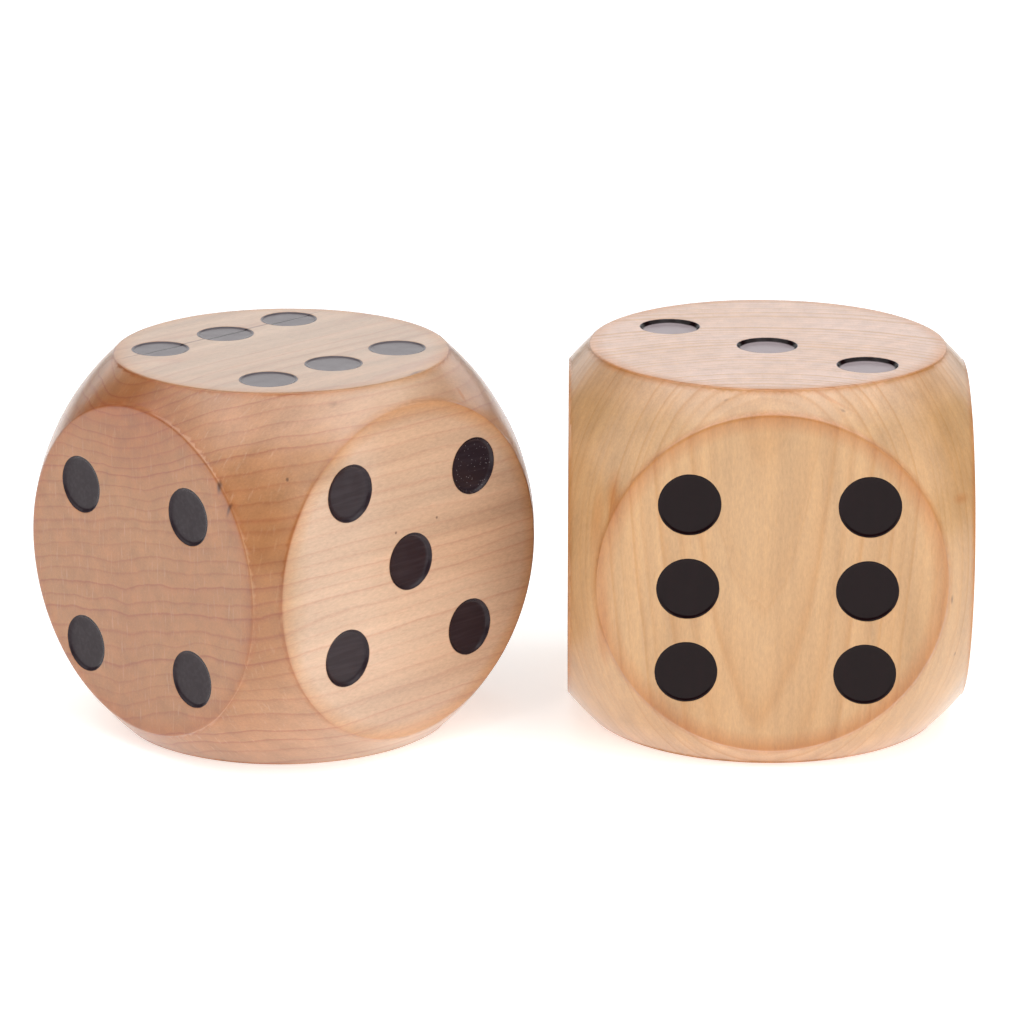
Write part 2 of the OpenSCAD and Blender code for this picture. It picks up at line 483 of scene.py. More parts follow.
def pour_lacquer(die, pip, look, seed):
    """Lacquer in one recess: a film up the wall, a meniscus, and a floor that isn't quite even."""
    clear = 0.02 * MM
    r = pip.radius
    sink = pip.sink
    inner = r - look.film
    lap = r + 0.16 * MM
    top = -0.02 * MM
    shortest_edge = 0.002 * MM
    ragged_by = 0.12
    swell_by = 0.06
    swell_width = 3.5 * MM
    profile = [
        (0, -pip.depth + clear), (r - clear, -pip.depth + clear), (r - clear, -look.mouth_soft),
        (r + 0.03 * MM, -0.12 * MM), (lap, top - 0.02 * MM), (lap - 0.04 * MM, top),
        (lap - 0.14 * MM, top - 0.01 * MM), (r - 0.08 * MM, -0.16 * sink), (inner, -0.42 * sink),
        (inner - 0.12 * MM, -0.66 * sink), (inner - 0.32 * MM, -0.84 * sink),
        (inner - 0.65 * MM, -0.95 * sink), (inner - 1.2 * MM, -sink), (inner * 0.55, -sink),
        (inner * 0.28, -sink), (0, -sink),
    ]
    bm = bmesh.new()
    line = [bm.verts.new((x, 0, z)) for x, z in profile]
    edges = [bm.edges.new(pair) for pair in zip(line, line[1:])]
    bmesh.ops.spin(
        bm, geom=line + edges, cent=(0, 0, 0), axis=(0, 0, 1), dvec=(0, 0, 0),
        angle=FULL_TURN, steps=look.round_steps, use_merge=True, use_duplicate=False)
    bmesh.ops.remove_doubles(bm, verts=bm.verts[:], dist=shortest_edge)
    shift = Vector((seed * 3.7, seed * 1.3, 0))
    for v in bm.verts:
        spoke = Vector((v.co.x, v.co.y, 0))
        around = spoke.normalized() if spoke.length > 0 else Vector()
        if v.co.z > -0.14 * MM and spoke.length > r - 0.05 * MM:
            ragged = noise.noise(around * 2.2 + shift) * 0.5 + noise.noise(around * 9 + shift) * 0.5
            v.co += around * ragged_by * MM * ragged
        elif v.co.z > -sink - 0.01 * MM and spoke.length < inner + clear:
            swell = noise.noise(v.co / swell_width + shift) * swell_by * MM
            v.co.z = min(v.co.z + swell, top)
    bmesh.ops.transform(bm, matrix=pip.place, verts=bm.verts[:])
    return finish_mesh(bm, die, f"{pip.node}_lacquer")


# ---------------------------------------------------------------- materials


def wood_material(die, look, marks):
    """Varnished close-grained hardwood, worked out in millimetres in the die's own frame."""
    material = bpy.data.materials.new(f"{die.side}_varnished_wood")
    material.use_nodes = True
    nodes = material.node_tree.nodes
    link = material.node_tree.links.new
    nodes.clear()

    # ---- place in the block
    nodes.new("NodeFrame").label = "Place in the block"
    place = nodes.new("ShaderNodeTexCoord")
    place.label = "Place on the die"
    own = nodes.new("ShaderNodeMapping")
    own.label = "Millimetres, with the grain along X"
    own.vector_type = "TEXTURE"
    own.inputs["Location"].default_value = die.middle
    own.inputs["Rotation"].default_value = die.turn.to_euler("XYZ")
    own.inputs["Scale"].default_value = (MM, MM, MM)
    link(place.outputs["Object"], own.inputs["Vector"])
    facing = nodes.new("ShaderNodeVectorMath")
    facing.label = "How much the surface faces along the grain"
    facing.operation = "DOT_PRODUCT"
    facing.inputs[1].default_value = die.turn.col[0]
    link(place.outputs["Normal"], facing.inputs[0])
    either_way = nodes.new("ShaderNodeMath")
    either_way.label = "Either way along the grain"
    either_way.operation = "ABSOLUTE"
    link(facing.outputs["Value"], either_way.inputs[0])
    end_on = nodes.new("ShaderNodeMapRange")
    end_on.label = "End grain, 0 to 1"
    end_on.inputs["From Min"].default_value = look.end_range[0]
    end_on.inputs["From Max"].default_value = look.end_range[1]
    link(either_way.outputs["Value"], end_on.inputs["Value"])

    # ---- waviness of the tree
    nodes.new("NodeFrame").label = "Waviness of the tree"
    slack = nodes.new("ShaderNodeVectorMath")
    slack.label = "Waves run longer along the grain"
    slack.operation = "MULTIPLY"
    slack.inputs[1].default_value = (0.3, 1, 1)
    link(own.outputs["Vector"], slack.inputs[0])
    drift = nodes.new("ShaderNodeTexNoise")
    drift.label = "Slow drift of the rings"
    drift.inputs["Scale"].default_value = 0.034
    drift.inputs["Detail"].default_value = 1.5
    link(slack.outputs["Vector"], drift.inputs["Vector"])
    ripple = nodes.new("ShaderNodeTexNoise")
    ripple.label = "Small ripple of the rings"
    ripple.inputs["Scale"].default_value = 0.17
    ripple.inputs["Detail"].default_value = 3
    link(slack.outputs["Vector"], ripple.inputs["Vector"])

    # ---- rings
    nodes.new("NodeFrame").label = "Growth rings"
    offset = nodes.new("ShaderNodeVectorMath")
    offset.label = "Away from the pith"
    offset.operation = "SUBTRACT"
    offset.inputs[1].default_value = (0, *look.pith)
    link(own.outputs["Vector"], offset.inputs[0])
    across = nodes.new("ShaderNodeVectorMath")
    across.label = "Across the grain only"
    across.operation = "MULTIPLY"
    across.inputs[1].default_value = (0, 1, 1)
    link(offset.outputs["Vector"], across.inputs[0])
    radius = nodes.new("ShaderNodeVectorMath")
    radius.label = "Distance from the pith"
    radius.operation = "LENGTH"
    link(across.outputs["Vector"], radius.inputs[0])
    along = nodes.new("ShaderNodeSeparateXYZ")
    along.label = "Place along the grain"
    link(own.outputs["Vector"], along.inputs["Vector"])
    tapered = nodes.new("ShaderNodeMath")
    tapered.label = "The trunk tapers"
    tapered.operation = "MULTIPLY_ADD"
    tapered.inputs[1].default_value = -look.taper
    link(along.outputs["X"], tapered.inputs[0])
    link(radius.outputs["Value"], tapered.inputs[2])
    hump = nodes.new("ShaderNodeMapping")
    hump.label = "Round the swelling"
    hump.vector_type = "TEXTURE"
    hump.inputs["Location"].default_value = (0, look.swell[0], look.swell[1])
    hump.inputs["Scale"].default_value = (1e4, look.swell[3], look.swell[3])
    link(own.outputs["Vector"], hump.inputs["Vector"])
    rise = nodes.new("ShaderNodeTexGradient")
    rise.label = "Swelling in the trunk"
    rise.gradient_type = "QUADRATIC_SPHERE"
    link(hump.outputs["Vector"], rise.inputs["Vector"])
    swollen = nodes.new("ShaderNodeMath")
    swollen.label = "Rings lifted by the swelling"
    swollen.operation = "MULTIPLY_ADD"
    swollen.inputs[1].default_value = look.swell[2]
    link(rise.outputs["Fac"], swollen.inputs[0])
    link(tapered.outputs["Value"], swollen.inputs[2])
    drifted = nodes.new("ShaderNodeMath")
    drifted.label = "Rings carried by the drift"
    drifted.operation = "MULTIPLY_ADD"
    drifted.inputs[1].default_value = look.wander
    link(drift.outputs["Fac"], drifted.inputs[0])
    link(swollen.outputs["Value"], drifted.inputs[2])
    rippled = nodes.new("ShaderNodeMath")
    rippled.label = "Rings shaken by the ripple"
    rippled.operation = "MULTIPLY_ADD"
    rippled.inputs[1].default_value = look.ripple
    link(ripple.outputs["Fac"], rippled.inputs[0])
    link(drifted.outputs["Value"], rippled.inputs[2])
    seasons = nodes.new("ShaderNodeTexNoise")
    seasons.label = "Good years and bad years"
    seasons.noise_dimensions = "1D"
    seasons.inputs["Scale"].default_value = 0.14
    seasons.inputs["Detail"].default_value = 2
    link(rippled.outputs["Value"], seasons.inputs["W"])
    uneven = nodes.new("ShaderNodeMath")
    uneven.label = "Uneven years"
    uneven.operation = "MULTIPLY_ADD"
    uneven.inputs[1].default_value = 3.5
    link(seasons.outputs["Fac"], uneven.inputs[0])
    link(rippled.outputs["Value"], uneven.inputs[2])
    year = nodes.new("ShaderNodeMath")
    year.label = "Years from the pith"
    year.operation = "DIVIDE"
    year.inputs[1].default_value = look.spacing
    link(uneven.outputs["Value"], year.inputs[0])
    season = nodes.new("ShaderNodeMath")
    season.label = "Time of year"
    season.operation = "FRACT"
    link(year.outputs["Value"], season.inputs[0])
    whole = nodes.new("ShaderNodeMath")
    whole.label = "Which year"
    whole.operation = "FLOOR"
    link(year.outputs["Value"], whole.inputs[0])
    counted = nodes.new("ShaderNodeMath")
    counted.label = "Counted from the first year"
    counted.operation = "ADD"
    counted.inputs[1].default_value = look.first_year
    link(whole.outputs["Value"], counted.inputs[0])
    vigour = nodes.new("ShaderNodeTexWhiteNoise")
    vigour.label = "How marked each year is"
    vigour.noise_dimensions = "1D"
    link(counted.outputs["Value"], vigour.inputs["W"])
    line = nodes.new("ShaderNodeValToRGB")
    line.label = "Thin late wood at the year's end"
    line.color_ramp.elements[0].color = (0.5, 0.5, 0.5, 1)
    line.color_ramp.elements[1].color = (0.5, 0.5, 0.5, 1)
    share = look.late_share
    shades = ((0.35 * share, 0.0), (1 - 2 * share, 0.05), (1 - share, 0.35), (1 - 0.35 * share, 1.0))
    for stop, dark in shades:
        line.color_ramp.elements.new(stop).color = (dark, dark, dark, 1)
    link(season.outputs["Value"], line.inputs["Fac"])
    strength = nodes.new("ShaderNodeMapRange")
    strength.label = "Weak and strong lines"
    strength.inputs["To Min"].default_value = look.lines[0]
    strength.inputs["To Max"].default_value = look.lines[1]
    link(vigour.outputs["Value"], strength.inputs["Value"])
    bolder = nodes.new("ShaderNodeMapRange")
    bolder.label = "Lines show more on end grain"
    bolder.inputs["To Min"].default_value = 0.6
    bolder.inputs["To Max"].default_value = 1.2
    link(end_on.outputs["Result"], bolder.inputs["Value"])
    shown = nodes.new("ShaderNodeMath")
    shown.label = "Strength of each line"
    shown.operation = "MULTIPLY"
    link(strength.outputs["Result"], shown.inputs[0])
    link(bolder.outputs["Result"], shown.inputs[1])
    rings = nodes.new("ShaderNodeMath")
    rings.label = "Ring lines"
    rings.operation = "MULTIPLY"
    link(line.outputs["Color"], rings.inputs[0])
    link(shown.outputs["Value"], rings.inputs[1])

    # ---- fibres, pores and rays
    nodes.new("NodeFrame").label = "Fibres, pores and rays"
    long_way = nodes.new("ShaderNodeVectorMath")
    long_way.label = "Fibres run along the grain"
    long_way.operation = "MULTIPLY"
    long_way.inputs[1].default_value = (0.08, 1, 1)
    link(own.outputs["Vector"], long_way.inputs[0])
    short_way = nodes.new("ShaderNodeVectorMath")
    short_way.label = "Flecks are a little longer along the grain"
    short_way.operation = "MULTIPLY"
    short_way.inputs[1].default_value = (0.3, 1, 1)
    link(own.outputs["Vector"], short_way.inputs[0])
    fibre = nodes.new("ShaderNodeTexNoise")
    fibre.label = "Fine flecks and fibres"
    fibre.inputs["Scale"].default_value = 2.2
    fibre.inputs["Detail"].default_value = 4
    fibre.inputs["Roughness"].default_value = 0.7
    link(short_way.outputs["Vector"], fibre.inputs["Vector"])
    streak = nodes.new("ShaderNodeTexNoise")
    streak.label = "Broad streaks"
    streak.inputs["Scale"].default_value = 0.24
    streak.inputs["Detail"].default_value = 3
    link(long_way.outputs["Vector"], streak.inputs["Vector"])
    vessel = nodes.new("ShaderNodeTexVoronoi")
    vessel.label = "Vessels"
    vessel.inputs["Scale"].default_value = 1.15
    link(long_way.outputs["Vector"], vessel.inputs["Vector"])
    pore = nodes.new("ShaderNodeMapRange")
    pore.label = "Open pores"
    pore.inputs["From Min"].default_value = 0.17
    pore.inputs["From Max"].default_value = 0.05
    link(vessel.outputs["Distance"], pore.inputs["Value"])
    ray_way = nodes.new("ShaderNodeVectorMath")
    ray_way.label = "Rays run out from the pith"
    ray_way.operation = "MULTIPLY"
    ray_way.inputs[1].default_value = (0.5, 1.7, 0.2)
    link(own.outputs["Vector"], ray_way.inputs[0])
    ray_noise = nodes.new("ShaderNodeTexNoise")
    ray_noise.label = "Rays"
    ray_noise.inputs["Scale"].default_value = 0.9
    ray_noise.inputs["Detail"].default_value = 2
    link(ray_way.outputs["Vector"], ray_noise.inputs["Vector"])
    ray = nodes.new("ShaderNodeMapRange")
    ray.label = "Pale lines of the rays"
    ray.inputs["From Min"].default_value = 0.60
    ray.inputs["From Max"].default_value = 0.78
    link(ray_noise.outputs["Fac"], ray.inputs["Value"])

    # ---- colour
    nodes.new("NodeFrame").label = "Colour of the wood"
    patch = nodes.new("ShaderNodeTexNoise")
    patch.label = "Uneven colour of the heartwood"
    patch.inputs["Scale"].default_value = 0.045
    patch.inputs["Detail"].default_value = 3
    link(slack.outputs["Vector"], patch.inputs["Vector"])
    ground = nodes.new("ShaderNodeMix")
    ground.label = "Pale and rosy wood"
    ground.data_type = "RGBA"
    ground.inputs[6].default_value = (*look.early, 1)
    ground.inputs[7].default_value = (*look.rosy, 1)
    patched = nodes.new("ShaderNodeMapRange")
    patched.label = "Where the wood is rosy"
    patched.inputs["From Min"].default_value = 0.38
    patched.inputs["From Max"].default_value = 0.66
    link(patch.outputs["Fac"], patched.inputs["Value"])
    link(patched.outputs["Result"], ground.inputs[0])
    banded = nodes.new("ShaderNodeMix")
    banded.label = "Ring lines over the ground"
    banded.data_type = "RGBA"
    banded.inputs[7].default_value = (*look.late, 1)
    link(rings.outputs["Value"], banded.inputs[0])
    link(ground.outputs[2], banded.inputs[6])
    grain_tone = nodes.new("ShaderNodeMath")
    grain_tone.label = "Streaks and fibres together"
    grain_tone.operation = "ADD"
    link(fibre.outputs["Fac"], grain_tone.inputs[0])
    link(streak.outputs["Fac"], grain_tone.inputs[1])
    shade = nodes.new("ShaderNodeMapRange")
    shade.label = "Lightness of the fibres"
    shade.inputs["From Min"].default_value = 0.6
    shade.inputs["From Max"].default_value = 1.4
    shade.inputs["To Min"].default_value = 1 - look.figure
    shade.inputs["To Max"].default_value = 1 + look.figure * 0.6
    link(grain_tone.outputs["Value"], shade.inputs["Value"])
    shaded = nodes.new("ShaderNodeMix")
    shaded.label = "Fibres over the rings"
    shaded.data_type = "RGBA"
    shaded.blend_type = "MULTIPLY"
    shaded.inputs[0].default_value = 1
    link(banded.outputs[2], shaded.inputs[6])
    link(shade.outputs["Result"], shaded.inputs[7])
    # Painted light and shade in the colour, with the real end grain tint: faces across the grain are
    # darkened on the left block and lightened on the right
    soaked_and_painted_light = nodes.new("ShaderNodeMix")
    soaked_and_painted_light.label = "End grain tint with painted light and shade"
    soaked_and_painted_light.data_type = "RGBA"
    soaked_and_painted_light.blend_type = "MULTIPLY"
    soaked_and_painted_light.inputs[7].default_value = (*look.end_grain_and_painted_light_tint, 1)
    link(end_on.outputs["Result"], soaked_and_painted_light.inputs[0])
    link(shaded.outputs[2], soaked_and_painted_light.inputs[6])
    ray_share = nodes.new("ShaderNodeMath")
    ray_share.label = "Rays show most on end grain"
    ray_share.operation = "MULTIPLY"
    link(ray.outputs["Result"], ray_share.inputs[0])
    link(end_on.outputs["Result"], ray_share.inputs[1])
    ray_faint = nodes.new("ShaderNodeMath")
    ray_faint.label = "Rays are faint"
    ray_faint.operation = "MULTIPLY"
    ray_faint.inputs[1].default_value = 0.28
    link(ray_share.outputs["Value"], ray_faint.inputs[0])
    rayed = nodes.new("ShaderNodeMix")
    rayed.label = "Rays over the end grain"
    rayed.data_type = "RGBA"
    rayed.inputs[7].default_value = (*look.early, 1)
    link(ray_faint.outputs["Value"], rayed.inputs[0])
    link(soaked_and_painted_light.outputs[2], rayed.inputs[6])
    pore_faint = nodes.new("ShaderNodeMath")
    pore_faint.label = "Pores are faint"
    pore_faint.operation = "MULTIPLY"
    pore_faint.inputs[1].default_value = 0.35
    link(pore.outputs["Result"], pore_faint.inputs[0])
    colour = nodes.new("ShaderNodeMix")
    colour.label = "Pores over the fibres"
    colour.data_type = "RGBA"
    colour.inputs[7].default_value = (*look.late, 1)
    link(pore_faint.outputs["Value"], colour.inputs[0])
    link(rayed.outputs[2], colour.inputs[6])

    # ---- rims of the flat faces
    nodes.new("NodeFrame").label = "Varnish gathered along the rims"
    depth_in = nodes.new("ShaderNodeVectorMath")
    depth_in.label = "Distance from the die's middle"
    depth_in.operation = "LENGTH"
    link(own.outputs["Vector"], depth_in.inputs[0])
    by_ball = nodes.new("ShaderNodeMapRange")
    by_ball.label = "Close to the ball"
    by_ball.inputs["From Min"].default_value = die.ball / MM - 2.6
    by_ball.inputs["From Max"].default_value = die.ball / MM - 0.3
    link(depth_in.outputs["Value"], by_ball.inputs["Value"])
    folded = nodes.new("ShaderNodeVectorMath")
    folded.label = "The same on opposite faces"
    folded.operation = "ABSOLUTE"
    link(own.outputs["Vector"], folded.inputs[0])
    inside = nodes.new("ShaderNodeVectorMath")
    inside.label = "Depth below each pair of faces"
    inside.operation = "SUBTRACT"
    inside.inputs[1].default_value = die.half / MM
    link(folded.outputs["Vector"], inside.inputs[0])
    depths = nodes.new("ShaderNodeSeparateXYZ")
    depths.label = "Three depths"
    link(inside.outputs["Vector"], depths.inputs["Vector"])
    nearer = nodes.new("ShaderNodeMath")
    nearer.label = "Nearer of two faces"
    nearer.operation = "MAXIMUM"
    link(depths.outputs["X"], nearer.inputs[0])
    link(depths.outputs["Y"], nearer.inputs[1])
    nearest = nodes.new("ShaderNodeMath")
    nearest.label = "Nearest face"
    nearest.operation = "MAXIMUM"
    link(nearer.outputs["Value"], nearest.inputs[0])
    link(depths.outputs["Z"], nearest.inputs[1])
    by_face = nodes.new("ShaderNodeMapRange")
    by_face.label = "Close to a face"
    by_face.inputs["From Min"].default_value = -1.3
    by_face.inputs["From Max"].default_value = -0.2
    link(nearest.outputs["Value"], by_face.inputs["Value"])
    on_rim = nodes.new("ShaderNodeMath")
    on_rim.label = "Along a rim"
    on_rim.operation = "MULTIPLY"
    link(by_ball.outputs["Result"], on_rim.inputs[0])
    link(by_face.outputs["Result"], on_rim.inputs[1])
    thicker = nodes.new("ShaderNodeMapRange")
    thicker.label = "More in some places"
    thicker.inputs["To Min"].default_value = 0.7
    link(patched.outputs["Result"], thicker.inputs["Value"])
    gathers = nodes.new("ShaderNodeMath")
    gathers.label = "Varnish that gathers"
    gathers.operation = "MULTIPLY"
    link(on_rim.outputs["Value"], gathers.inputs[0])
    link(thicker.outputs["Result"], gathers.inputs[1])
    rimmed = nodes.new("ShaderNodeMix")
    rimmed.label = "Deeper colour along the rims"
    rimmed.data_type = "RGBA"
    rimmed.blend_type = "MULTIPLY"
    rimmed.inputs[7].default_value = (*look.rim_tint, 1)
    link(gathers.outputs["Value"], rimmed.inputs[0])
    link(colour.outputs[2], rimmed.inputs[6])
    colour = rimmed

    # ---- marks of the workshop
    frayed_by = 0.9
    mean_fray = Vector((frayed_by / 2,) * 3)
    nodes.new("NodeFrame").label = "Marks of the workshop"
    fray = nodes.new("ShaderNodeVectorMath")
    fray.label = "Marks have ragged outlines"
    fray.operation = "MULTIPLY_ADD"
    fray.inputs[1].default_value = (frayed_by,) * 3
    link(ripple.outputs["Color"], fray.inputs[0])
    link(own.outputs["Vector"], fray.inputs[2])
    for mark in marks:
        spot = nodes.new("ShaderNodeMapping")
        spot.label = f"Place of the {mark.name}"
        spot.vector_type = "TEXTURE"
        spot.inputs["Location"].default_value = Vector(mark.place) + mean_fray
        spot.inputs["Rotation"].default_value = [math.radians(a) for a in mark.turn]
        spot.inputs["Scale"].default_value = mark.reach
        link(fray.outputs["Vector"], spot.inputs["Vector"])
        fade = nodes.new("ShaderNodeTexGradient")
        fade.label = f"Fading of the {mark.name}"
        fade.gradient_type = "SPHERICAL"
        link(spot.outputs["Vector"], fade.inputs["Vector"])
        depth = nodes.new("ShaderNodeMapRange")
        depth.label = f"Depth of the {mark.name}"
        depth.inputs["From Max"].default_value = mark.edge
        depth.inputs["To Max"].default_value = mark.depth
        link(fade.outputs["Fac"], depth.inputs["Value"])
        marked = nodes.new("ShaderNodeMix")
        marked.label = mark.name.capitalize()
        marked.data_type = "RGBA"
        marked.blend_type = "MULTIPLY"
        marked.inputs[7].default_value = (*mark.tint, 1)
        link(depth.outputs["Result"], marked.inputs[0])
        link(colour.outputs[2], marked.inputs[6])
        colour = marked

    # ---- varnish
    nodes.new("NodeFrame").label = "Sanding and varnish"
    sander = nodes.new("ShaderNodeTexNoise")
    sander.label = "Sanding scratches"
    sander.inputs["Scale"].default_value = 3.2
    sander.inputs["Detail"].default_value = 3
    link(slack.outputs["Vector"], sander.inputs["Vector"])
    relief = nodes.new("ShaderNodeMath")
    relief.label = "Fibres and scratches"
    relief.operation = "ADD"
    link(fibre.outputs["Fac"], relief.inputs[0])
    link(sander.outputs["Fac"], relief.inputs[1])
    pitted = nodes.new("ShaderNodeMath")
    pitted.label = "Less the open pores"
    pitted.operation = "SUBTRACT"
    link(relief.outputs["Value"], pitted.inputs[0])
    link(pore.outputs["Result"], pitted.inputs[1])
    under = nodes.new("ShaderNodeBump")
    under.label = "Grain under the varnish"
    under.inputs["Strength"].default_value = 0.5
    under.inputs["Distance"].default_value = 0.03 * MM
    link(pitted.outputs["Value"], under.inputs["Height"])
    lie = nodes.new("ShaderNodeTexNoise")
    lie.label = "Lie of the brushed varnish"
    lie.inputs["Scale"].default_value = 0.22
    lie.inputs["Detail"].default_value = 3
    link(own.outputs["Vector"], lie.inputs["Vector"])
    level = nodes.new("ShaderNodeMath")
    level.label = "Varnish over grain"
    level.operation = "MULTIPLY_ADD"
    level.inputs[1].default_value = 0.16
    link(pitted.outputs["Value"], level.inputs[0])
    link(lie.outputs["Fac"], level.inputs[2])
    over = nodes.new("ShaderNodeBump")
    over.label = "Top of the varnish"
    over.inputs["Strength"].default_value = 0.6
    over.inputs["Distance"].default_value = 0.14 * MM
    link(level.outputs["Value"], over.inputs["Height"])
    sheen = nodes.new("ShaderNodeMapRange")
    sheen.label = "Roughness of the sanded wood"
    sheen.inputs["To Min"].default_value = 0.40
    sheen.inputs["To Max"].default_value = 0.62
    link(fibre.outputs["Fac"], sheen.inputs["Value"])
    shader = nodes.new("ShaderNodeBsdfPrincipled")
    shader.label = "Varnished wood"
    shader.inputs["Coat Weight"].default_value = 1
    shader.inputs["Coat Roughness"].default_value = 0.2
    shader.inputs["Coat IOR"].default_value = 1.47
    link(colour.outputs[2], shader.inputs["Base Color"])
    link(sheen.outputs["Result"], shader.inputs["Roughness"])
    link(under.outputs["Normal"], shader.inputs["Normal"])
    link(over.outputs["Normal"], shader.inputs["Coat Normal"])
    out = nodes.new("ShaderNodeOutputMaterial")
    out.label = "Surface of the block"
    link(shader.outputs["BSDF"], out.inputs["Surface"])
    lay_out(nodes)
    return material


def lay_out(nodes):
    """Sets the nodes out in rows, in the order that they were made, each in the last frame before it."""
    in_a_row = 9
    step_right, step_down = 260, 340
    box = None
    placed = 0
    for node in nodes:
        if node.type == "FRAME":
            box = node
            continue
        node.parent = box
        node.location = (placed % in_a_row * step_right, -(placed // in_a_row) * step_down)
        placed += 1


def lacquer_material(die, look, hairline):
    """Black lacquer brushed into drilled wood, whose grain shows through it."""
    material = bpy.data.materials.new(f"{die.side}_black_lacquer")
    material.use_nodes = True
    nodes = material.node_tree.nodes
    link = material.node_tree.links.new
    nodes.clear()

    nodes.new("NodeFrame").label = "Place in the block"
    place = nodes.new("ShaderNodeTexCoord")
    place.label = "Place on the die"
    own = nodes.new("ShaderNodeMapping")
    own.label = "Millimetres, with the grain along X"
    own.vector_type = "TEXTURE"
    own.inputs["Location"].default_value = die.middle
    own.inputs["Rotation"].default_value = die.turn.to_euler("XYZ")
    own.inputs["Scale"].default_value = (MM, MM, MM)
    link(place.outputs["Object"], own.inputs["Vector"])

    nodes.new("NodeFrame").label = "Grain showing through"
    long_way = nodes.new("ShaderNodeVectorMath")
    long_way.label = "Fibres run along the grain"
    long_way.operation = "MULTIPLY"
    long_way.inputs[1].default_value = (0.07, 1, 1)
    link(own.outputs["Vector"], long_way.inputs[0])
    fibre = nodes.new("ShaderNodeTexNoise")
    fibre.label = "Fibres under the lacquer"
    fibre.inputs["Scale"].default_value = 1.1
    fibre.inputs["Detail"].default_value = 3
    link(long_way.outputs["Vector"], fibre.inputs["Vector"])
    peel = nodes.new("ShaderNodeTexNoise")
    peel.label = "Slow swell of the lacquer"
    peel.inputs["Scale"].default_value = 0.5
    peel.inputs["Detail"].default_value = 2
    link(own.outputs["Vector"], peel.inputs["Vector"])
    swell = nodes.new("ShaderNodeMath")
    swell.label = "Swell and fibres"
    swell.operation = "MULTIPLY_ADD"
    swell.inputs[1].default_value = 1.5
    link(peel.outputs["Fac"], swell.inputs[0])
    link(fibre.outputs["Fac"], swell.inputs[2])

    nodes.new("NodeFrame").label = "Painted glints and burst bubbles"
    bubble = nodes.new("ShaderNodeTexVoronoi")
    bubble.label = "Bubbles"
    bubble.inputs["Scale"].default_value = 1.3
    link(own.outputs["Vector"], bubble.inputs["Vector"])
    crater = nodes.new("ShaderNodeMapRange")
    crater.label = "Small craters"
    crater.inputs["From Min"].default_value = 0.16
    crater.inputs["From Max"].default_value = 0.06
    crater.inputs["To Max"].default_value = look.bubbles
    link(bubble.outputs["Distance"], crater.inputs["Value"])
    near = nodes.new("ShaderNodeMapping")
    near.label = "Round the bubbly pip"
    near.vector_type = "TEXTURE"
    near.inputs["Location"].default_value = look.bubbly
    near.inputs["Scale"].default_value = (9, 9, 9)
    link(own.outputs["Vector"], near.inputs["Vector"])
    cluster = nodes.new("ShaderNodeTexGradient")
    cluster.label = "Where bubbles gather"
    cluster.gradient_type = "SPHERICAL"
    link(near.outputs["Vector"], cluster.inputs["Vector"])
    gathered = nodes.new("ShaderNodeMapRange")
    gathered.label = "Only in that pip"
    gathered.inputs["From Max"].default_value = 0.2
    gathered.inputs["To Max"].default_value = 4
    link(cluster.outputs["Fac"], gathered.inputs["Value"])
    craters = nodes.new("ShaderNodeMath")
    craters.label = "Craters in those places"
    craters.operation = "MULTIPLY"
    link(crater.outputs["Result"], craters.inputs[0])
    link(gathered.outputs["Result"], craters.inputs[1])

    nodes.new("NodeFrame").label = "Lacquer"
    surface = nodes.new("ShaderNodeMath")
    surface.label = "Grain less craters"
    surface.operation = "SUBTRACT"
    link(swell.outputs["Value"], surface.inputs[0])
    link(craters.outputs["Value"], surface.inputs[1])
    relief = nodes.new("ShaderNodeBump")
    relief.label = "Relief of the lacquer"
    relief.inputs["Strength"].default_value = 0.6
    relief.inputs["Distance"].default_value = 0.025 * MM
    link(surface.outputs["Value"], relief.inputs["Height"])
    tone = nodes.new("ShaderNodeValToRGB")
    tone.label = "Thin and thick lacquer"
    tone.color_ramp.elements[0].position = 0.34
    tone.color_ramp.elements[0].color = (*look.thin, 1)
    tone.color_ramp.elements[1].position = 0.55
    tone.color_ramp.elements[1].color = (*look.colour, 1)
    link(fibre.outputs["Fac"], tone.inputs["Fac"])
    upward = nodes.new("ShaderNodeSeparateXYZ")
    upward.label = "Which way the lacquer faces"
    link(place.outputs["Normal"], upward.inputs["Vector"])
    # Painted sheen: lacquer that faces up is made pale, standing for the light that it reflects
    painted_sheen_up = nodes.new("ShaderNodeMapRange")
    painted_sheen_up.label = "Painted sheen on what faces up"
    painted_sheen_up.inputs["From Min"].default_value = 0.8
    painted_sheen_up.inputs["From Max"].default_value = 0.98
    link(upward.outputs["Z"], painted_sheen_up.inputs["Value"])
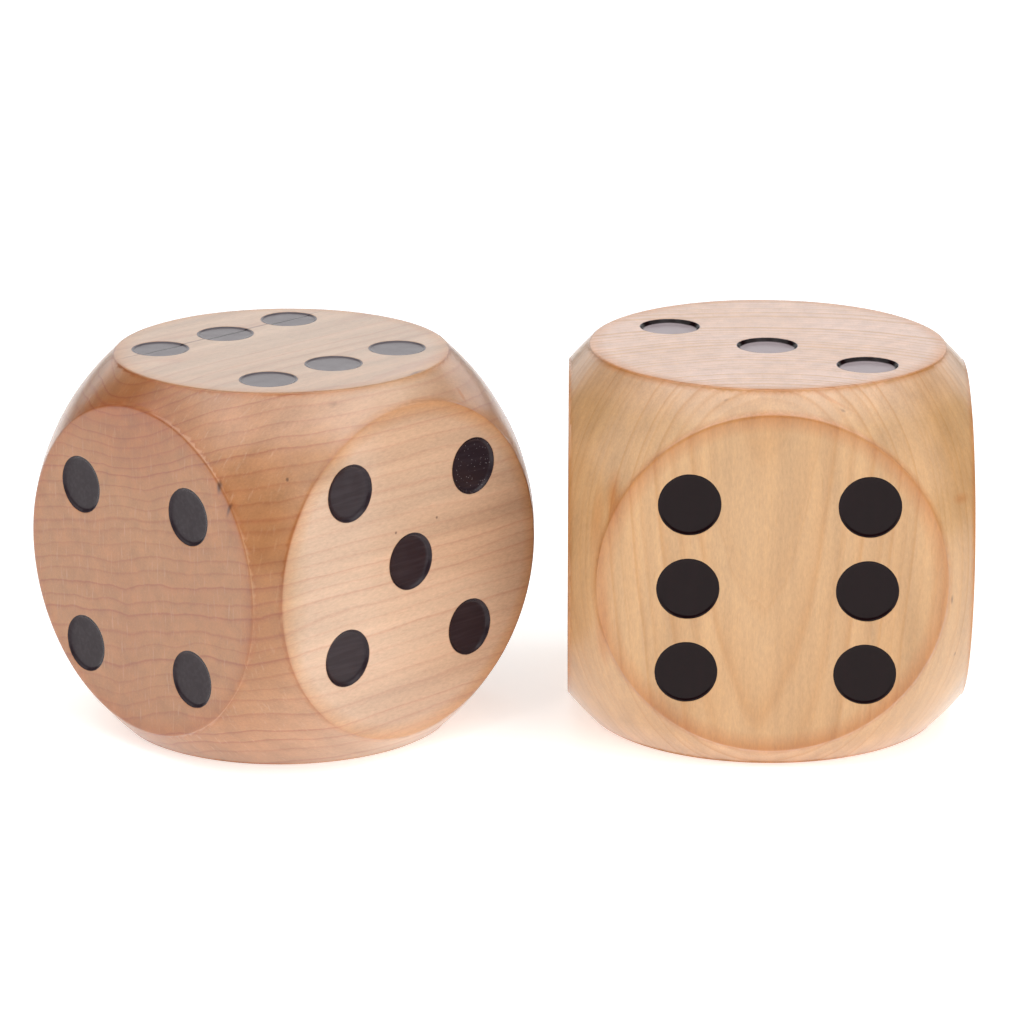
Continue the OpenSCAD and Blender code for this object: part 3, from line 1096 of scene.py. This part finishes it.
    # Painted glints: the craters are made pale too
    painted_sheen_and_glints = nodes.new("ShaderNodeMath")
    painted_sheen_and_glints.label = "Painted glints in the craters"
    painted_sheen_and_glints.operation = "MAXIMUM"
    link(painted_sheen_up.outputs["Result"], painted_sheen_and_glints.inputs[0])
    link(craters.outputs["Value"], painted_sheen_and_glints.inputs[1])
    painted_sheen_mix = nodes.new("ShaderNodeMix")
    painted_sheen_mix.label = "Painted sheen over the lacquer"
    painted_sheen_mix.data_type = "RGBA"
    painted_sheen_mix.inputs[7].default_value = (*look.painted_sheen, 1)
    link(painted_sheen_and_glints.outputs["Value"], painted_sheen_mix.inputs[0])
    link(tone.outputs["Color"], painted_sheen_mix.inputs[6])
    crack = nodes.new("ShaderNodeMapping")
    crack.label = "Place of the hairline"
    crack.vector_type = "TEXTURE"
    crack.inputs["Location"].default_value = hairline.place
    crack.inputs["Scale"].default_value = hairline.reach
    link(own.outputs["Vector"], crack.inputs["Vector"])
    deep = nodes.new("ShaderNodeTexGradient")
    deep.label = "Fading of the hairline"
    deep.gradient_type = "SPHERICAL"
    link(crack.outputs["Vector"], deep.inputs["Vector"])
    opened = nodes.new("ShaderNodeMapRange")
    opened.label = "Depth of the hairline"
    opened.inputs["From Max"].default_value = hairline.edge
    opened.inputs["To Max"].default_value = hairline.depth
    link(deep.outputs["Fac"], opened.inputs["Value"])
    split = nodes.new("ShaderNodeMix")
    split.label = "Lacquer split along the hairline"
    split.data_type = "RGBA"
    split.inputs[7].default_value = (*look.colour, 1)
    link(opened.outputs["Result"], split.inputs[0])
    link(painted_sheen_mix.outputs[2], split.inputs[6])
    gloss = nodes.new("ShaderNodeMapRange")
    gloss.label = "Uneven gloss"
    gloss.inputs["To Min"].default_value = look.roughness - 0.08
    gloss.inputs["To Max"].default_value = look.roughness + 0.08
    link(peel.outputs["Fac"], gloss.inputs["Value"])
    shader = nodes.new("ShaderNodeBsdfPrincipled")
    shader.label = "Black lacquer"
    shader.inputs["IOR"].default_value = look.ior
    link(split.outputs[2], shader.inputs["Base Color"])
    link(gloss.outputs["Result"], shader.inputs["Roughness"])
    link(relief.outputs["Normal"], shader.inputs["Normal"])
    out = nodes.new("ShaderNodeOutputMaterial")
    out.label = "Surface of a pip"
    link(shader.outputs["BSDF"], out.inputs["Surface"])
    lay_out(nodes)
    return material


# ---------------------------------------------------------------- operators


class YARDDICE_OT_blocks(bpy.types.Operator):
    """Shape and varnish the two wooden blocks"""

    bl_idname = "yard_dice.blocks"
    bl_label = "Blocks"

    def execute(self, context):
        scene = context.scene
        for die in DICE.values():
            piece = shape_block(die, scene.dice_shape)
            look = getattr(scene, f"{die.side}_wood")
            piece.data.materials.append(wood_material(die, look, MARKS[die.side]))
            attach(piece, die.body)
            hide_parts(die.block)
        return {"FINISHED"}


class YARDDICE_OT_pips(bpy.types.Operator):
    """Pour black lacquer into the forty-two recesses"""

    bl_idname = "yard_dice.pips"
    bl_label = "Pips"

    def execute(self, context):
        scene = context.scene
        for die in DICE.values():
            look = getattr(scene, f"{die.side}_lacquer")
            lacquer = lacquer_material(die, look, MARKS[die.side][0])
            for seed, pip in enumerate(die.pips):
                piece = pour_lacquer(die, pip, scene.dice_shape, seed)
                piece.data.materials.append(lacquer)
                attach(piece, die.body)
                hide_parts(pip.node)
        return {"FINISHED"}


class YARDDICE_OT_stage(bpy.types.Operator):
    """Lay the floor and set the lights and the camera"""

    bl_idname = "yard_dice.stage"
    bl_label = "Stage"

    def execute(self, context):
        scene = context.scene
        look = scene.dice_stage
        lay_floor(look)
        light_world(scene, look)
        hang_lights(look)
        place_camera(scene, look)
        return {"FINISHED"}


# Half the floor's width in metres, and the camera's sensor in millimetres
FLOOR_HALF = 4.0
SENSOR_WIDTH = 36


def lay_floor(look):
    """A wide pale floor that gives back a little light."""
    bm = bmesh.new()
    bmesh.ops.create_grid(bm, x_segments=1, y_segments=1, size=FLOOR_HALF)
    floor = make_object(bm, "floor")
    material = bpy.data.materials.new("pale_floor")
    material.use_nodes = True
    nodes = material.node_tree.nodes
    link = material.node_tree.links.new
    nodes.clear()
    nodes.new("NodeFrame").label = "Paper of the floor"
    shader = nodes.new("ShaderNodeBsdfPrincipled")
    shader.label = "Pale matt floor"
    shader.inputs["Base Color"].default_value = (*look.floor, 1)
    shader.inputs["Roughness"].default_value = 0.9
    shader.inputs["Emission Color"].default_value = (*look.floor, 1)
    shader.inputs["Emission Strength"].default_value = look.floor_glow
    out = nodes.new("ShaderNodeOutputMaterial")
    out.label = "Floor"
    link(shader.outputs["BSDF"], out.inputs["Surface"])
    lay_out(nodes)
    floor.data.materials.append(material)


def light_world(scene, look):
    """A pale room whose ceiling is darker than its walls."""
    world = bpy.data.worlds.new("studio")
    scene.world = world
    world.use_nodes = True
    nodes = world.node_tree.nodes
    link = world.node_tree.links.new
    nodes["Background"].label = "Light of the room"
    nodes.new("NodeFrame").label = "Walls and ceiling"
    way = nodes.new("ShaderNodeTexCoord")
    way.label = "Direction in the room"
    height = nodes.new("ShaderNodeSeparateXYZ")
    height.label = "Height in the room"
    link(way.outputs["Generated"], height.inputs["Vector"])
    fall = nodes.new("ShaderNodeMapRange")
    fall.label = "Pale walls under a darker ceiling"
    fall.inputs["From Min"].default_value = 0.1
    fall.inputs["From Max"].default_value = 0.8
    fall.inputs["To Min"].default_value = look.ambient
    fall.inputs["To Max"].default_value = look.ambient * 0.3
    link(height.outputs["Z"], fall.inputs["Value"])
    link(fall.outputs["Result"], nodes["Background"].inputs["Strength"])
    lay_out(nodes)


# Each soft light: bearing from straight behind and height in degrees, distance, width, height
# in metres, its brightness as a share of a white floor's, and whether gloss mirrors it
SOFT_LIGHTS = {
    "right_softbox": (122, 42, 1.0, 1.4, 1.1, 1.25, True),
    "left_softbox": (252, 44, 1.0, 1.0, 0.9, 1.35, True),
    "top_softbox": (180, 84, 1.0, 1.2, 1.1, 1.5, True),
    "backdrop_glow": (5, 16, 1.3, 2.4, 0.5, 0.98, True),
    "front_fill": (166, 12, 1.5, 3.0, 1.0, 1.15, False),
}


def hang_lights(look):
    """Soft boxes on a dome round the dice, each facing them."""
    aim = Vector((0, 0, DICE["left"].middle.z))
    for name, (bearing, lift, distance, width, height, bright, mirrored) in SOFT_LIGHTS.items():
        data = bpy.data.lights.new(name, "AREA")
        data.shape = "RECTANGLE"
        data.size = width
        data.size_y = height
        data.energy = bright * look.brightness * math.pi * width * height
        light = bpy.data.objects.new(name, data)
        side, up = math.radians(bearing), math.radians(lift)
        away = Vector((math.sin(side) * math.cos(up), math.cos(side) * math.cos(up), math.sin(up)))
        light.location = aim + away * distance
        light.rotation_euler = away.to_track_quat("Z", "Y").to_euler()
        light.visible_glossy = mirrored
        bpy.context.scene.collection.objects.link(light)


def place_camera(scene, look):
    """A long lens a metre in front, looking down a little."""
    data = bpy.data.cameras.new("camera")
    data.lens = look.lens
    data.sensor_width = SENSOR_WIDTH
    camera = bpy.data.objects.new("camera", data)
    left = DICE["left"].middle
    camera.location = (left.x + look.camera_right, left.y - look.camera_back, look.camera_height)
    camera.rotation_euler = (math.pi / 2 - look.camera_pitch, 0, 0)
    scene.collection.objects.link(camera)
    scene.camera = camera
    scene.view_settings.view_transform = "Standard"


class YARDDICE_PT_panel(bpy.types.Panel):
    """Lists what builds the dice, in order"""

    bl_idname = "YARDDICE_PT_panel"
    bl_label = "Giant Yard Dice"
    bl_space_type = "VIEW_3D"
    bl_region_type = "UI"
    bl_category = "Yard Dice"

    def draw(self, context):
        for operator in OPERATORS:
            self.layout.operator(operator.bl_idname)


OPERATORS = (YARDDICE_OT_blocks, YARDDICE_OT_pips, YARDDICE_OT_stage)
CLASSES = (DiceShape, WoodLook, LacquerLook, StageLook, *OPERATORS, YARDDICE_PT_panel)
SETTINGS = {
    "dice_shape": DiceShape,
    "left_wood": WoodLook,
    "right_wood": WoodLook,
    "left_lacquer": LacquerLook,
    "right_lacquer": LacquerLook,
    "dice_stage": StageLook,
}


def register():
    for part in CLASSES:
        bpy.utils.register_class(part)
    for name, group in SETTINGS.items():
        setattr(bpy.types.Scene, name, PointerProperty(type=group))


def unregister():
    for name in SETTINGS:
        delattr(bpy.types.Scene, name)
    for part in reversed(CLASSES):
        bpy.utils.unregister_class(part)


def main():
    """Registers the parts, gives the right die its own look and builds both dice."""
    register()
    for name, value in RIGHT_WOOD.items():
        setattr(bpy.context.scene.right_wood, name, value)
    for name, value in RIGHT_LACQUER.items():
        setattr(bpy.context.scene.right_lacquer, name, value)
    bpy.ops.yard_dice.blocks()
    bpy.ops.yard_dice.pips()
    bpy.ops.yard_dice.stage()


if __name__ == "__main__":
    main()
